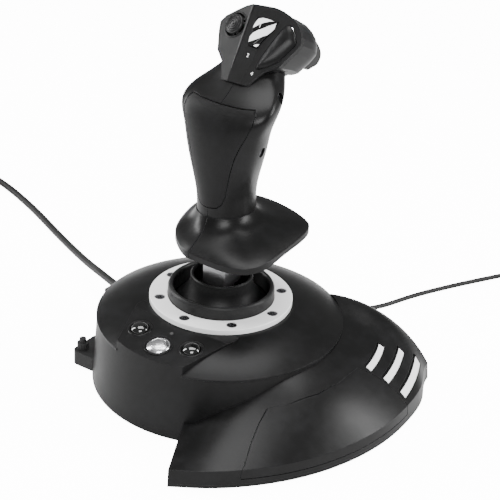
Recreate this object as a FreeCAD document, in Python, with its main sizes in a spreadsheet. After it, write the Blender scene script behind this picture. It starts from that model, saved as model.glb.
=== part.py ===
import FreeCAD, Part
import math
import os

import Sketcher

# Flight joystick with a hand rest. Millimetres, +Z up. The origin is on the table, on the axis of
# the stick. +Y points away from the user and +X to the user's right.

os.makedirs("parts", exist_ok=True)
doc = FreeCAD.newDocument("FlightStick")

vec = FreeCAD.Vector
up = vec(0, 0, 1)
origin = vec(0, 0, 0)

# Driving sizes
sizes = {
    # drum and bottom
    "footHeight": 1.5,
    "drumBottomRadius": 84.0,
    "drumTopRadius": 81.0,
    "drumTop": 46.5,
    "drumWall": 2.5,
    "plateThick": 2.5,
    # domed cover
    "coverRadius": 81.4,
    "coverLip": 1.2,
    "coverFlat": 59.7,
    "coverFlatRadius": 49.0,
    "coverWall": 2.5,
    "stickOpening": 32.6,
    # white ring and its screws
    "ringOuter": 47.0,
    "ringInner": 35.2,
    "ringTop": 63.2,
    "screwCircle": 40.4,
    "screwHead": 3.2,
    "screwShank": 1.5,
    # collar, and the bell that tilts inside it
    "collarRim": 71.5,
    "bellTop": 79.0,
    "bellNeck": 20.4,
    "bellWall": 1.6,
    "bellSphere": 38.5,
    # gimbal
    "pivotHeight": 36.0,
    "shaftRadius": 8.0,
    "hubRadius": 13.0,
    "ringHalf": 30.0,
    "ringHole": 24.0,
    "trunnionRadius": 4.0,
    "runningGap": 0.05,
    # grip
    "gripFloor": 105.0,
    "gripWall": 2.6,
    "grooveWidth": 0.55,
    "seamWidth": 0.3,
    # buttons
    "menuRadius": 5.9,
    "guideRadius": 7.8,
    "buttonGap": 0.25,
    "linkDiameter": 5.4,
    "usbDiameter": 3.5,
}

sheet = doc.addObject("Spreadsheet::Sheet", "Sizes")
for row, (word, value) in enumerate(sizes.items(), 1):
    sheet.set(f"A{row}", word)
    sheet.set(f"B{row}", str(value))
    sheet.setAlias(f"B{row}", word)
doc.recompute()


class Dim:
    """A length that knows its number and its spreadsheet formula."""

    def __init__(self, value, text):
        self.value = value
        self.text = text

    def join(self, other, sign, swap=False):
        other = asDim(other)
        first, second = (other, self) if swap else (self, other)
        value = {
            "+": first.value + second.value,
            "-": first.value - second.value,
            "*": first.value * second.value,
        }[sign]
        return Dim(value, f"({first.text} {sign} {second.text})")

    def __add__(self, other):
        return self.join(other, "+")

    def __radd__(self, other):
        return self.join(other, "+", True)

    def __sub__(self, other):
        return self.join(other, "-")

    def __rsub__(self, other):
        return self.join(other, "-", True)

    def __mul__(self, other):
        return self.join(other, "*")

    def __rmul__(self, other):
        return self.join(other, "*", True)

    def __neg__(self):
        return self.join(-1, "*")


def asDim(value):
    return value if isinstance(value, Dim) else Dim(float(value), f"({float(value)!r})")


def dim(word):
    return Dim(sizes[word], f"Sizes.{word}")


nodes = {}


def keep(obj, label):
    """Names a finished sub-part; its label is the file name."""
    obj.Label = label
    nodes[label] = obj
    return obj


def feature(label, shape):
    obj = doc.addObject("Part::Feature", label)
    obj.Shape = shape
    return keep(obj, label)


# Sketched bodies

def newBody(label):
    body = doc.addObject("PartDesign::Body", label)
    body.Label = label
    return body


def newSketch(body, name, role):
    plane = next(f for f in body.Origin.OriginFeatures if f.Role == role)
    sketch = body.newObject("Sketcher::SketchObject", name)
    sketch.AttachmentSupport = (plane, [""])
    sketch.MapMode = "FlatFace"
    return sketch


def pinPoint(sketch, geo, pos, point):
    """Fixes one sketch point by its two coordinates, bound to the spreadsheet."""
    for kind, value in zip(("DistanceX", "DistanceY"), point):
        value = asDim(value)
        index = sketch.addConstraint(Sketcher.Constraint(kind, -1, 1, geo, pos, value.value))
        sketch.setExpression(f"Constraints[{index}]", value.text)


def drawOutline(sketch, points):
    """Closed outline of straight sides; each point is (u, v)."""
    flat = [vec(asDim(u).value, asDim(v).value, 0) for u, v in points]
    count = len(flat)
    first = sketch.GeometryCount
    for i in range(count):
        sketch.addGeometry(Part.LineSegment(flat[i], flat[(i + 1) % count]), False)
    for i in range(count):
        here, after = first + i, first + (i + 1) % count
        sketch.addConstraint(Sketcher.Constraint("Coincident", here, 2, after, 1))
    for i, point in enumerate(points):
        pinPoint(sketch, first + i, 1, point)


def drawCircle(sketch, u, v, radius):
    radius = asDim(radius)
    centre = vec(asDim(u).value, asDim(v).value, 0)
    geo = sketch.addGeometry(Part.Circle(centre, up, radius.value), False)
    index = sketch.addConstraint(Sketcher.Constraint("Radius", geo, radius.value))
    sketch.setExpression(f"Constraints[{index}]", radius.text)
    if centre.Length < 1e-6:
        sketch.addConstraint(Sketcher.Constraint("Coincident", geo, 3, -1, 1))
    else:
        pinPoint(sketch, geo, 3, (u, v))


def turned(label, profile):
    """Body turned about Z from a closed (radius, height) outline."""
    body = newBody(label)
    sketch = newSketch(body, label + "Profile", "XZ_Plane")
    drawOutline(sketch, profile)
    turn = body.newObject("PartDesign::Revolution", label + "Turn")
    turn.Profile = sketch
    turn.ReferenceAxis = (sketch, ["V_Axis"])
    turn.Angle = 360
    return body


def raised(label, draw, height, base):
    """Body padded up from its own XY plane and lifted to base."""
    body = newBody(label)
    sketch = newSketch(body, label + "Outline", "XY_Plane")
    draw(sketch)
    pad = body.newObject("PartDesign::Pad", label + "Pad")
    pad.Profile = sketch
    pad.Length = asDim(height).value
    pad.setExpression("Length", asDim(height).text)
    body.Placement.Base.z = asDim(base).value
    body.setExpression(".Placement.Base.z", asDim(base).text)
    return body


def rectangle(width, depth, x=0, y=0):
    def draw(sketch):
        w, d = asDim(width) * 0.5, asDim(depth) * 0.5
        drawOutline(sketch, [(x - w, y - d), (x + w, y - d), (x + w, y + d), (x - w, y + d)])
    return draw


def circles(*rings):
    def draw(sketch):
        for u, v, radius in rings:
            drawCircle(sketch, u, v, radius)
    return draw


def cut(label, base, tools):
    """Part::Cut of one object by one or more others."""
    tool = tools[0]
    if len(tools) > 1:
        tool = doc.addObject("Part::MultiFuse", label + "Tools")
        tool.Shapes = tools
    result = doc.addObject("Part::Cut", label)
    result.Base = base
    result.Tool = tool
    return result


def fuse(label, parts):
    result = doc.addObject("Part::MultiFuse", label)
    result.Shapes = parts
    return result


def hidden(label, shape):
    """A shape that only serves as a boolean operand."""
    obj = doc.addObject("Part::Feature", label)
    obj.Shape = shape
    return obj


# Free-form helpers

def smoothWire(points):
    curve = Part.BSplineCurve()
    curve.interpolate(points, PeriodicFlag=True)
    return Part.Wire([curve.toShape()])


def polygonWire(points):
    return Part.makePolygon(list(points) + [points[0]])


def prism(outline, low, high):
    """Upright prism over a plan outline of (x, y) points."""
    face = Part.Face(polygonWire([vec(x, y, low) for x, y in outline]))
    return face.extrude(vec(0, 0, high - low))


def rod(radius, length, base, direction=up):
    return Part.makeCylinder(radius, length, base, direction)


def block(width, depth, height, centre):
    corner = centre - vec(width / 2, depth / 2, height / 2)
    return Part.makeBox(width, depth, height, corner)


def drumCone(low, high, inset=0.0):
    """The drum's tapered outer surface as a solid between two heights."""
    slope = (sizes["drumTopRadius"] - sizes["drumBottomRadius"]) / (sizes["drumTop"] - sizes["footHeight"])

    def radiusAt(z):
        return sizes["drumBottomRadius"] + slope * (z - sizes["footHeight"]) - inset

    return Part.makeCone(radiusAt(low), radiusAt(high), high - low, vec(0, 0, low))


# Console block: a wedge on the user's side of the drum. Its top slopes down to the user.
consoleFront = 53.0
consoleRise = 0.19
consoleCorner = (25.5, -77.0)
consoleRear = (38.0, -40.0)
consoleNormal = vec(0, -consoleRise, 1).normalize()


def consoleHeight(y):
    return consoleFront + consoleRise * (y + 80)


def consolePoint(x, y, above=0.0):
    return vec(x, y, consoleHeight(y)) + consoleNormal * above


def consoleSolid(inset=0.0, low=44.0):
    cx, cy = consoleCorner
    rx, ry = consoleRear
    side = inset * 1.05
    outline = [(-cx + side, -95), (cx - side, -95), (cx - side, cy), (rx - side, ry), (rx - side, -34),
               (-rx + side, -34), (-rx + side, ry), (-cx + side, cy)]
    solid = prism(outline, low, 75).common(drumCone(low, 75, inset))
    # everything above the sloping top, and above the flat under the ring, is taken off
    lid = Part.makeBox(240, 240, 60, vec(-120, -120, 0))
    lid.Placement = FreeCAD.Placement(
        consolePoint(0, 0, -inset), FreeCAD.Rotation(up, consoleNormal)
    )
    solid = solid.cut(lid)
    ceiling = sizes["coverFlat"] - inset
    return solid.cut(Part.makeBox(240, 240, 60, vec(-120, -120, ceiling)))


def consoleHole(x, y, radius, above, below):
    return rod(radius, above + below, consolePoint(x, y, above), consoleNormal * -1)


menuPlace = (20.3, -60.0)
guidePlace = (0.3, -67.6)
lampPlace = (0.3, -54.0)


def makeBaseShell():
    s = dim
    foot, top = s("footHeight"), s("drumTop")
    wall = turned("drumWallBody", [
        (s("drumBottomRadius"), foot),
        (s("drumTopRadius"), top),
        (s("drumTopRadius") - s("drumWall"), top),
        (s("drumBottomRadius") - s("drumWall"), foot),
    ])
    outer = hidden("consoleOuter", consoleSolid())
    # screw pillars for the bottom plate and a lug under the cover at the left
    pillars = [rod(4, 18, vec(77 * math.cos(a), 77 * math.sin(a), 4)) for a in plateScrewAngles()]
    lug = block(12, 10, 7, vec(-80.5, -9, 38.5)).cut(drumCone(30, 50, 1.0))
    posts = [rod(2, 7, consolePoint(x, -57, -9.2), consoleNormal) for x in (-9, 9)]
    extra = hidden("drumExtras", Part.makeCompound(pillars + [lug] + posts))
    body = fuse("drumSolid", [wall, outer, extra])
    inner = consoleSolid(sizes["drumWall"], 30)
    gaps = [inner.cut(Part.makeCompound(posts))]
    gap = sizes["buttonGap"]
    for side in (-1, 1):
        gaps.append(consoleHole(side * menuPlace[0], menuPlace[1], sizes["menuRadius"] + gap, 3, 8))
    gaps.append(consoleHole(*guidePlace, bezelRadius, 3, 8))
    gaps.append(consoleHole(*lampPlace, 1.2, 3, 8))
    shank = sizes["screwShank"]
    gaps += [rod(shank, 12, vec(77 * math.cos(a), 77 * math.sin(a), 0)) for a in plateScrewAngles()]
    gaps += [rod(shank, 12, vec(x, y, 52)) for x, y in ringScrewPlaces()]
    gaps.append(rod(sizes["stickOpening"], 30, vec(0, 0, 40)))
    gaps.append(rod(linkGlandRadius, 30, linkExit - linkHeading * 20, linkHeading))
    gaps.append(rod(usbGlandRadius, 24, usbExit - usbHeading * 20, usbHeading))
    keep(cut("base_shell", body, [hidden("drumGap", g) for g in gaps]), "base_shell")


def plateScrewAngles():
    return [math.radians(a) for a in (20, 80, 140, 200, 305)]


bezelRadius = 9.2

# Leads. Each route is the list of corners that its smooth line follows, from the gland outwards.
linkRoute = [(-95, 15.6, 25), (-119, 27, 22.5), (-157, 51, 11.5), (-206, 80, 3.4), (-260, 107, 2.9),
             (-309, 126, 2.9), (-338, 130.5, 2.9), (-352, 129.7, 2.9)]
linkTail = [(-352, 68, 8.2), (-341, 67.6, 8.0), (-331, 65.5, 6.0), (-320, 62, 5.2)]
linkCoil = (-352.0, 100.0)
usbRoute = [(23.5, 93, 14), (27.5, 111, 12.8), (34, 129, 5.4), (42, 149, 2.2), (51, 177, 1.9), (66, 208, 1.9),
            (86, 244, 1.9), (98, 264, 1.9), (100, 275, 1.9)]
usbTail = [(145, 275, 5.4), (144, 265, 5.2), (140, 255, 4.6), (137, 246, 4.4)]
usbCoil = (120.0, 275.0)


def leadExit(route):
    """Where a lead leaves its gland, and the way it heads there."""
    start = vec(*route[0])
    return start, (vec(*route[1]) - start).normalize()


linkExit, linkHeading = leadExit(linkRoute)
linkGlandRadius = 4.6
usbExit, usbHeading = leadExit(usbRoute)
usbGlandRadius = 3.6


def domeProfile(inset):
    """Rim to ring: the dome's convex outline, as points on one arc."""
    rimRadius, rimZ = sizes["coverRadius"] - inset, sizes["drumTop"] + sizes["coverLip"] - inset * 0.2
    flatRadius, flatZ = sizes["coverFlatRadius"], sizes["coverFlat"] - inset
    midRadius = (rimRadius + flatRadius) / 2
    midZ = (rimZ + flatZ) / 2 + 1.9
    return Part.Arc(vec(rimRadius, 0, rimZ), vec(midRadius, 0, midZ), vec(flatRadius, 0, flatZ))


def domeSolid(inset, low):
    hole = sizes["stickOpening"] if inset == 0 else 0.0
    flatZ = sizes["coverFlat"] - inset
    rim = sizes["coverRadius"] - inset
    arc = domeProfile(inset)
    edges = [
        Part.makeLine(vec(hole, 0, low), vec(rim, 0, low)),
        Part.makeLine(vec(rim, 0, low), arc.StartPoint),
        arc.toShape(),
        Part.makeLine(arc.EndPoint, vec(hole, 0, flatZ)),
        Part.makeLine(vec(hole, 0, flatZ), vec(hole, 0, low)),
    ]
    face = Part.Face(Part.Wire(edges))
    return face.revolve(origin, up, 360)


def makeTopCover():
    low = sizes["drumTop"]
    shell = domeSolid(0, low).cut(domeSolid(sizes["coverWall"], low - 5))
    shell = shell.cut(rod(sizes["stickOpening"], 40, vec(0, 0, 40)))
    # the console block stands in a notch that fits its sides
    shell = shell.cut(consoleSolid(0.0, 40))
    shell = shell.cut(prism([(-25.5, -100), (25.5, -100), (25.5, -77), (0, -60), (-25.5, -77)], 40, 53))
    for x, y in ringScrewPlaces():
        shell = shell.cut(rod(sizes["screwShank"], 12, vec(x, y, 52)))
    solid = max(shell.Solids, key=lambda s: s.Volume)
    feature("top_cover", solid)


def ringScrewPlaces():
    r = sizes["screwCircle"]
    return [(r * math.cos(i * math.pi / 4), r * math.sin(i * math.pi / 4)) for i in range(8)]


def makeTrimRing():
    s = dim
    ring = turned("ringBody", [
        (s("ringInner"), s("coverFlat")),
        (s("ringOuter"), s("coverFlat")),
        (s("ringOuter"), s("ringTop") - 0.4),
        (s("ringOuter") - 0.4, s("ringTop")),
        (s("ringInner"), s("ringTop")),
    ])
    holes = []
    for x, y in ringScrewPlaces():
        holes.append(rod(sizes["screwShank"], 8, vec(x, y, 57)))
        holes.append(rod(sizes["screwHead"] + 0.3, 5, vec(x, y, sizes["ringTop"] - 2.2)))
    keep(cut("trim_ring", ring, [hidden("ringHoles", Part.makeCompound(holes))]), "trim_ring")


def crossHeadScrew(x, y, seat, length, radius, upward=1):
    """Pan-head screw on the seat height; upward is the side the head faces."""
    head = rod(radius, 1.9, vec(x, y, seat if upward > 0 else seat - 1.9))
    shank = rod(sizes["screwShank"], length, vec(x, y, seat - length if upward > 0 else seat))
    slotZ = seat + upward * 1.5
    solid = head.fuse(shank)
    for wide, deep in ((radius * 1.25, 0.9), (0.9, radius * 1.25)):
        solid = solid.cut(block(wide, deep, 1.4, vec(x, y, slotZ)))
    return solid.removeSplitter()


def makeRingScrews():
    seat = sizes["ringTop"] - 2.2
    screws = [crossHeadScrew(x, y, seat, 3.8, sizes["screwHead"]) for x, y in ringScrewPlaces()]
    feature("ring_screws", Part.makeCompound(screws))


def makeCollar():
    s = dim
    foot, rim = s("coverFlat"), s("collarRim")
    outer = s("ringInner") - 0.3
    inner = outer - 3.5
    keep(turned("boot_collar", [
        (inner, foot),
        (outer, foot),
        (outer, rim - 2),
        (outer - 0.4, rim - 0.9),
        (outer - 1.1, rim - 0.2),
        (outer - 1.9, rim),
        (outer - 2.7, rim - 0.3),
        (outer - 3.2, rim - 1),
        (inner, rim - 2),
    ]), "boot_collar")


def bellPoint(radius, degrees):
    """Point of the bell's section on a sphere about the pivot, measured from straight up."""
    a = math.radians(degrees)
    return vec(radius * math.sin(a), 0, sizes["pivotHeight"] + radius * math.cos(a))


def makeBell():
    """Hourglass neck on a spherical skirt that slides under the collar as the stick tilts."""
    skin, neck, top = sizes["bellSphere"], sizes["bellNeck"], sizes["bellTop"]
    wall = sizes["bellWall"]
    lining, throat = skin - wall, neck - wall - 0.4
    edge, foot = 67, 41
    outerFoot, innerFoot = bellPoint(skin, foot), bellPoint(lining, foot - 2)
    outerNeck, innerNeck = vec(neck, 0, top - 2.2), vec(throat, 0, top - 3)
    lip = [outerNeck, vec(neck, 0, top - 0.7), vec(neck - 0.6, 0, top), vec(throat + 0.6, 0, top),
           vec(throat, 0, top - 0.7), innerNeck]
    edges = [Part.Arc(bellPoint(skin, edge), bellPoint(skin, (edge + foot) / 2), outerFoot).toShape()]
    edges.append(Part.Arc(outerFoot, vec(neck + 1.4, 0, top - 8.6), outerNeck).toShape())
    edges += [Part.makeLine(a, b) for a, b in zip(lip, lip[1:])]
    edges.append(Part.Arc(innerNeck, vec(throat + 1.2, 0, top - 9.2), innerFoot).toShape())
    edges.append(Part.Arc(innerFoot, bellPoint(lining, (edge + foot) / 2), bellPoint(lining, edge)).toShape())
    edges.append(Part.makeLine(bellPoint(lining, edge), bellPoint(skin, edge)))
    feature("boot_bell", Part.Face(Part.Wire(edges)).revolve(origin, up, 360))
    # hard cone that carries the bell on the gimbal's hub
    hub = sizes["hubRadius"]
    profile = [vec(hub, 0, 41), vec(hub + 2.4, 0, 41), vec(hub + 2.4, 0, 44.6), bellPoint(lining, 52),
               bellPoint(lining, 48), vec(hub, 0, 45.6)]
    feature("bell_carrier", Part.Face(polygonWire(profile)).revolve(origin, up, 360))


# Hand rest beside the drum. Each rib runs from the drum out to the crease of the outer wall.
wingArcCentre = (-28.6, 16.2)
wingArcRadius = 159.2
wingCrease = 13.0
wingLow = 1.5
wingRibs = [
    # angle on the drum, height there, crown of the rib, share of the outer arc
    (-70.0, 15.0, 0.3, 0.0),
    (-60.0, 21.5, 1.0, 0.10),
    (-51.0, 29.0, 2.0, 0.20),
    (-41.0, 35.5, 3.0, 0.31),
    (-30.0, 42.5, 4.0, 0.42),
    (-18.0, 45.6, 5.0, 0.53),
    (0.0, 46.1, 6.0, 0.65),
    (22.0, 46.1, 7.0, 0.77),
    (43.0, 46.1, 11.0, 0.89),
    (63.0, 46.1, 15.0, 1.0),
]


def wingOuterPoint(share):
    cx, cy = wingArcCentre
    start = math.atan2(-122 - cy, 50 - cx)
    stop = math.atan2(85 - cy, 113.5 - cx)
    angle = start + (stop - start) * share
    return vec(cx + wingArcRadius * math.cos(angle), cy + wingArcRadius * math.sin(angle), 0)


def wingRibWire(rib, inset):
    angle, height, crown, share = rib
    angle = math.radians(angle)
    inner = vec(76 * math.cos(angle), 76 * math.sin(angle), 0)
    rim = wingOuterPoint(share)
    outward = (rim - inner).normalize()
    low = inner + vec(0, 0, wingLow - inset)
    foot = rim - outward * inset + vec(0, 0, wingLow - inset)
    crease = rim - outward * (1.3 + inset) + vec(0, 0, wingCrease - inset)
    top = inner + vec(0, 0, height + 0.4 - inset)
    middle = (crease + top) * 0.5 + vec(0, 0, crown)
    return Part.Wire([
        Part.makeLine(low, foot),
        Part.makeLine(foot, crease),
        Part.Arc(crease, middle, top).toShape(),
        Part.makeLine(top, low),
    ])


def wingSolid(inset=0.0):
    return Part.makeLoft([wingRibWire(rib, inset) for rib in wingRibs], True, False)


wingPanelOutline = [(74.5, -54), (75.5, -64), (78.5, -76), (84, -91), (86, -110), (150, -100), (150, 30.5),
                    (127.5, 30.5), (124, 30), (107, 20.5), (98.5, 14.5), (98, -8), (93.5, -26), (85, -43)]
wingPanelLow = 6.5
insertLines = [
    # each strip: the two ends of its middle line, and how far it bows outward
    ((96.2, 48.6), (102.8, 21.2), 0.9),
    ((105.1, 60.4), (113.3, 26.6), 1.2),
    ((112.2, 71.8), (123.5, 32.5), 1.6),
]


def stripOutline(ends, bow, low, high, grow=0.0):
    """Curved strip in plan between two offsets from a bowed middle line."""
    (ax, ay), (bx, by) = ends
    along = vec(bx - ax, by - ay, 0)
    length = along.Length
    along.normalize()
    across = vec(-along.y, along.x, 0)
    left, right = [], []
    for i in range(7):
        t = i / 6
        reach = (length + 2 * grow) * t - grow
        centre = vec(ax, ay, 0) + along * reach + across * (bow * 4 * t * (1 - t))
        left.append(centre + across * high)
        right.append(centre + across * low)
    return [(p.x, p.y) for p in left + right[::-1]]


def makeWing():
    outer = wingSolid()
    drum = drumCone(0, 50)
    lowered = outer.copy()
    lowered.translate(vec(-1.0, 0.5, -1.3))
    skin = outer.cut(lowered)
    groove = sizes["grooveWidth"]
    recess = skin.common(prism(wingPanelOutline, wingPanelLow, 60))
    panel = skin.common(prism(scaledOutline(wingPanelOutline, groove), wingPanelLow + groove, 60))
    panel = max(panel.Solids, key=lambda s: s.Volume)
    inner = wingSolid(sizes["drumWall"]).cut(drumCone(-5, 55, -sizes["drumWall"]))
    inner = inner.cut(Part.makeBox(400, 400, 20, vec(-150, -200, -19)))
    left = Part.makeBox(60, 3, 60, vec(0, 0, -2))
    left.Placement = FreeCAD.Placement(vec(24, -76, 0), FreeCAD.Rotation(up, -62))
    lip = rod(sizes["coverRadius"] + 0.1, 20, vec(0, 0, sizes["drumTop"] - 0.05))
    shell = outer.cut(drum).cut(lip).cut(inner.cut(left)).cut(recess)
    strips = []
    for start, stop, bow in insertLines:
        ends = (start, stop)
        slot = prism(stripOutline(ends, bow, -3.4, 2.1, 0.6), 8, 60)
        deeper = outer.copy()
        deeper.translate(vec(-0.4, 0.2, -1.6))
        shell = shell.cut(outer.cut(deeper).common(slot))
        strip = prism(stripOutline(ends, bow, -1.8, 1.8), 8, 60)
        base = outer.copy()
        base.translate(vec(0, 0, -0.2))
        strips.append(max(base.cut(deeper).common(strip).Solids, key=lambda s: s.Volume))
    shell = max(shell.Solids, key=lambda s: s.Volume)
    bottom = outer.common(Part.makeBox(400, 400, 2.0, vec(-150, -200, wingLow))).cut(drum)
    shell = shell.cut(bottom)
    feature("wing", max(shell.Solids, key=lambda s: s.Volume))
    feature("wing_panel", panel)
    feature("slot_inserts", Part.makeCompound(strips))
    feature("wing_bottom", max(bottom.Solids, key=lambda s: s.Volume))


def makeBottom():
    s = dim
    radius = s("drumBottomRadius") - s("drumWall") - 0.35
    plate = raised("basePlateBody", circles((0, 0, radius)), s("plateThick"), s("footHeight"))
    pillars = raised("boardPillars", circles(
        (-52, -16, 2.5), (-52, 16, 2.5), (-34, -16, 2.5), (-34, 16, 2.5)
    ), 4, s("footHeight") + s("plateThick"))
    holes = []
    for a in plateScrewAngles():
        x, y = 77 * math.cos(a), 77 * math.sin(a)
        holes += [rod(sizes["screwShank"], 8, vec(x, y, 0)), rod(3.3, 1.2, vec(x, y, sizes["footHeight"]))]
    whole = fuse("plateWithPillars", [plate, pillars])
    keep(cut("base_plate", whole, [hidden("plateHoles", Part.makeCompound(holes))]), "base_plate")
    seat = sizes["footHeight"] + 1.2
    screws = []
    for a in plateScrewAngles():
        x, y = 77 * math.cos(a), 77 * math.sin(a)
        head = rod(3, 1.1, vec(x, y, seat - 1.1))
        screws.append(head.fuse(rod(sizes["screwShank"], 9, vec(x, y, seat))))
    feature("base_screws", Part.makeCompound(screws))
    places = [(0, 0), (-45, -45), (45, -50), (-50, 45), (30, 66), (108, -30), (70, -92), (104, 66)]
    feet = [rod(6, sizes["footHeight"], vec(x, y, 0)) for x, y in places]
    feature("base_feet", Part.makeCompound(feet))
    keep(raised("ballast", circles((0, 0, 71), (0, 0, 61)), 9, s("footHeight") + s("plateThick")), "ballast")


dockPlace = (-80.2, -44.6)
dockTop = 11.5


def makeDock():
    left, low = -85, 1.5
    body = Part.makeBox(21, 27, dockTop - low, vec(left, -51, low))
    middle = (dockTop + low) / 2
    outerEdges = [e for e in body.Edges if e.CenterOfMass.x < left + 0.01]
    uprights = [e for e in outerEdges if abs(e.CenterOfMass.z - middle) < 0.01]
    body = body.makeFillet(4.5, uprights)
    body = body.cut(drumCone(0, 30))
    body = body.cut(rod(1.6, 12, vec(*dockPlace, 3)))
    feature("dock_block", max(body.Solids, key=lambda s: s.Volume))
    knob = rod(3.9, 4.8, vec(*dockPlace, dockTop + 0.1)).fuse(rod(2.3, 3.2, vec(*dockPlace, dockTop + 4.9)))
    for i in range(12):
        a = i * math.pi / 6
        groove = vec(dockPlace[0] + 4.05 * math.cos(a), dockPlace[1] + 4.05 * math.sin(a), dockTop + 0.1)
        knob = knob.cut(rod(0.5, 4.8, groove))
    knob = knob.fuse(rod(1.5, 7, vec(*dockPlace, dockTop - 6.9)))
    feature("dock_screw", knob.removeSplitter())


def makeGimbal():
    s = dim
    pivot, gap = sizes["pivotHeight"], sizes["runningGap"]
    trunnion = sizes["trunnionRadius"]
    half, hole = sizes["ringHalf"], sizes["ringHole"]
    plate = raised("gimbalPlate", rectangle(52, 104), 3, s("footHeight") + s("plateThick"))
    posts = []
    for side in (-1, 1):
        posts.append(block(14, 6, pivot - 1, vec(0, side * (half + 6.5), pivot / 2 + 6)))
    posts = hidden("gimbalPosts", Part.makeCompound(posts))
    bore = hidden("gimbalBore", rod(trunnion, 90, vec(0, -45, pivot), vec(0, 1, 0)))
    keep(cut("gimbal_frame", fuse("gimbalFrameSolid", [plate, posts]), [bore]), "gimbal_frame")
    ring = block(2 * half, 2 * half, 8, vec(0, 0, pivot)).cut(block(2 * hole, 2 * hole, 9, vec(0, 0, pivot)))
    for side in (-1, 1):
        axle = rod(trunnion - gap, 10, vec(0, side * (half - 0.5), pivot), vec(0, side, 0))
        ring = ring.fuse(axle)
    ring = ring.cut(rod(3, 80, vec(-40, 0, pivot), vec(1, 0, 0)))
    feature("roll_ring", ring.removeSplitter())
    hub = rod(sizes["hubRadius"], 20, vec(0, 0, pivot - 10)).fuse(rod(10, 4.2, vec(0, 0, pivot - 14)))
    hub = hub.fuse(rod(3 - gap, 59, vec(-29.5, 0, pivot), vec(1, 0, 0)))
    hub = hub.cut(rod(sizes["shaftRadius"] + gap, 30, vec(0, 0, pivot - 7)))
    feature("pitch_hub", hub.removeSplitter())
    feature("roll_sensor", block(16, 9, 34, vec(0, half + 15.5, 24)))
    feature("pitch_sensor", block(5, 14, 9, vec(half + 2.5, 0, pivot)))
    feature("spring_cup", rod(13.5, 1.8, vec(0, 0, pivot - 15.8)))
    feature("centre_spring", coilSpring(11.5, 1.0, 3.2, 12.8, vec(0, 0, 7.05)))


def coilSpring(radius, wire, pitch, height, base, direction=up):
    """Coil spring as a swept helix."""
    helix = Part.makeHelix(pitch, height - 2 * wire, radius)
    start = vec(0, 1, max(0.05, pitch / (2 * math.pi * radius)))
    section = Part.Wire([Part.makeCircle(wire, vec(radius, 0, 0), start)])
    spring = Part.Wire(helix).makePipeShell([section], True, True)
    spring.Placement = FreeCAD.Placement(base + direction * wire * 1.05, FreeCAD.Rotation(up, direction))
    return spring


def makeShaft():
    radius = sizes["shaftRadius"]
    shaft = rod(radius, 94.5, vec(0, 0, sizes["pivotHeight"] - 6.5))
    shaft = shaft.fuse(rod(11, 3, vec(0, 0, sizes["pivotHeight"] + 10.3)))
    key = block(17, 19, 30, vec(0, 0, 88))
    shaft = shaft.fuse(key).fuse(block(22, 6, 6, vec(0, 0, 120)))
    feature("stick_shaft", shaft.removeSplitter())


# Grip: sections from the hand rest up to the head. Each has its half width and where it starts
# (towards the user) and ends (away from the user), with how square its rear is.
gripSections = [
    # height, half width, rear, front, middle, squareness of the rear
    (118.0, 18.5, -18.6, 22.5, 2.0, 2.0),
    (128.0, 17.8, -19.1, 23.2, 0.9, 2.0),
    (138.0, 17.7, -19.8, 23.6, -0.6, 2.0),
    (155.0, 21.4, -20.6, 25.2, -2.8, 2.1),
    (171.0, 25.8, -20.4, 25.8, -3.7, 2.2),
    (185.0, 28.9, -18.8, 27.2, -3.9, 2.4),
    (195.0, 32.2, -14.8, 29.6, -2.6, 2.6),
    (203.0, 31.0, -5.8, 34.6, 4.4, 2.6),
    (210.0, 24.8, 4.0, 40.8, 15.6, 2.4),
    (217.0, 18.8, 11.0, 45.4, 24.9, 2.2),
    (223.0, 13.8, 18.2, 48.6, 32.2, 2.0),
]


def gripWire(section, inset=0.0):
    height, half, rear, front, middle, square = section
    points = []
    count = 28
    for i in range(count):
        a = 2 * math.pi * i / count
        c, s = math.cos(a), math.sin(a)
        power = 2.0 / (square if s < 0 else 2.0)
        x = (half - inset) * math.copysign(abs(c) ** power, c)
        reach = (middle - rear if s < 0 else front - middle) - inset
        y = middle + reach * math.copysign(abs(s) ** power, s)
        points.append(vec(x, y, height))
    return smoothWire(points)


def gripCore(inset=0.0, skip=0):
    last = len(gripSections) - skip
    return Part.makeLoft([gripWire(section, inset) for section in gripSections[skip:last]], True, False)


# Hand rest at the foot of the grip: wide on the right, narrow on the left, tilted up to the front
flangeOutline = [(0, -38), (14, -38.6), (26, -38.6), (36, -36.6), (43.6, -31), (47.6, -22), (48.4, -8), (49, 6),
                 (49.3, 18), (46.4, 28.3), (38.6, 33.6), (27, 37.7), (15.5, 40.0), (5, 40.8), (-4, 40.0),
                 (-14, 36.6), (-23.5, 30), (-29.5, 20), (-31, 9), (-29.8, -2), (-27.4, -12), (-23, -21.5),
                 (-16, -29), (-8, -35)]
flangeTilt = 0.13
flangeEdge = 4.2


def flangeHeight(y):
    return sizes["gripFloor"] + flangeTilt * (y + 38)


def flangeWire(share):
    """Outline between the rim (share 0) and the handle's foot (share 1)."""
    foot = 127.0
    pull = (1 - share) ** 1.9
    points = []
    for x, y in flangeOutline:
        reach = math.hypot(x, y)
        near = vec(x / reach * 18.3, y / reach * 20.5 + 1.0, 0)
        far = vec(x, y, 0)
        flat = near + (far - near) * pull
        rimZ = flangeHeight(flat.y) + flangeEdge
        points.append(vec(flat.x, flat.y, rimZ + (foot - rimZ) * share))
    return points


def flangeSolid():
    rim = [vec(x, y, flangeHeight(y)) for x, y in flangeOutline]
    edge = Part.Face(smoothWire(rim)).extrude(vec(0, 0, flangeEdge))
    slope = Part.makeLoft([smoothWire(flangeWire(share)) for share in (0.0, 0.3, 0.65, 1.0)], True, False)
    return edge.fuse(slope)


palmPadOutline = [
    # half outline seen from behind: (half width, height), from the foot to the shoulder
    (6.0, 134.0), (9.0, 137.0), (11.0, 142.0), (12.5, 150.0), (14.5, 160.0), (17.0, 170.5), (20.0, 179.0),
    (23.5, 187.0), (25.6, 194.0), (25.4, 198.5), (23.0, 201.5), (16.0, 200.8),
]


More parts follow.
